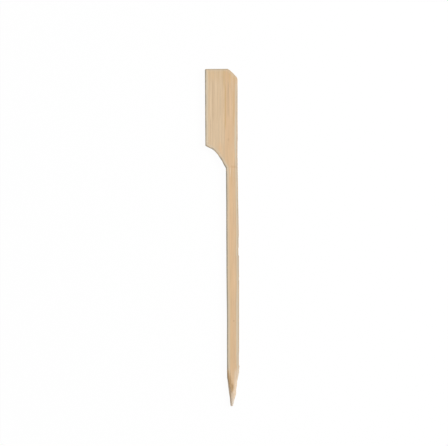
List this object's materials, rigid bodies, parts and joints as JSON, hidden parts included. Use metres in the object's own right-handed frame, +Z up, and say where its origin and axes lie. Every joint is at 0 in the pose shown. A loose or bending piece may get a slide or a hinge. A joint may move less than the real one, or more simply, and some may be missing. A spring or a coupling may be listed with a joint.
{
  "type": "bamboo paddle pick",
  "caption": "Flat bamboo pick: a square-ended paddle head with one clipped corner, a scooped neck on one side, a narrow shaft and a sharpened, slightly off-centre point.",
  "frame": {"origin": "middle of the overall length and width, on the flat face that the pick lies on", "axes": "+Y along the pick from the tip to the head end, +Z up out of the upper flat face, +X towards the straight back, so the notch under the head is on the -X side"},
  "size_m": [0.0118, 0.12, 0.0025],
  "materials": {
    "bamboo": "matt, sanded, untreated, with fine lengthwise fibres"
  },
  "bodies": {
    "root": {"pick": "bamboo"}
  },
  "joints": []
}
